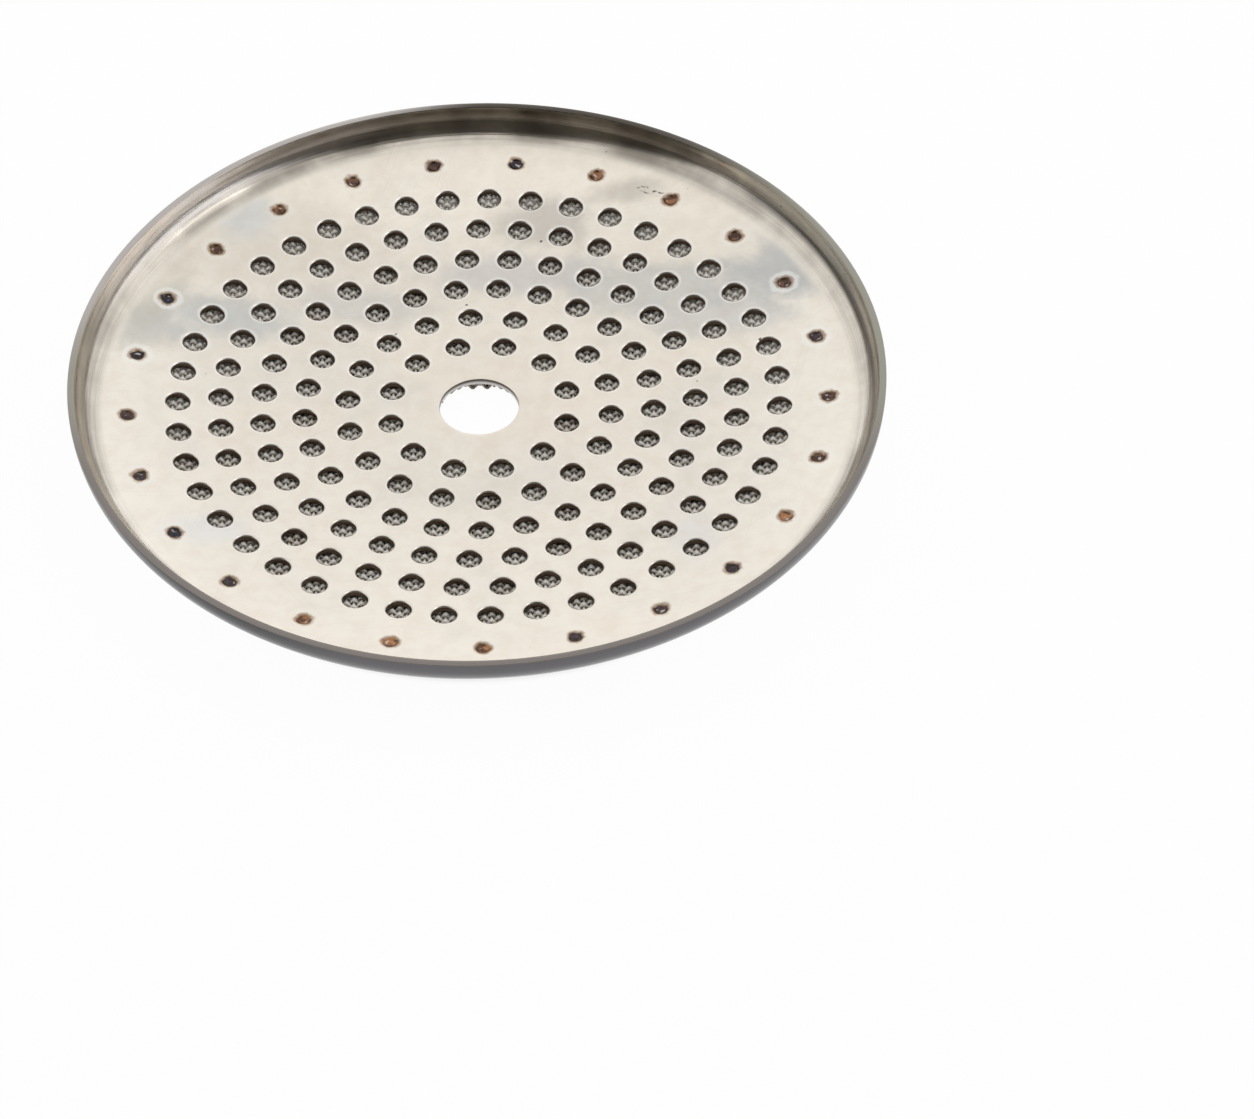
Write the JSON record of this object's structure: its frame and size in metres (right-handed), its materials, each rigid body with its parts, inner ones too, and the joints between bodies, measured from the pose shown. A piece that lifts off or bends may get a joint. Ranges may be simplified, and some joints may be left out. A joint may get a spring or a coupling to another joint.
{
  "type": "espresso shower screen",
  "caption": "Round pressed steel shower screen for an espresso machine: a perforated dish with a woven wire disc spot welded underneath and a screw hole in the middle.",
  "frame": {"origin": "on the centre axis, in the plane of the woven disc's lowest wires, on which the screen rests", "axes": "+Z along the centre axis, out of the dish towards the rim; +X and +Y are square to it and mark no feature"},
  "size_m": [0.058, 0.058, 0.0053],
  "materials": {
    "pressed_sheet": "satin, with heat tint at the spot welds",
    "woven_wire": "satin, with heat tint at the spot welds"
  },
  "bodies": {
    "root": {"perforated_shell": "pressed_sheet", "woven_mesh": "woven_wire"}
  },
  "joints": []
}
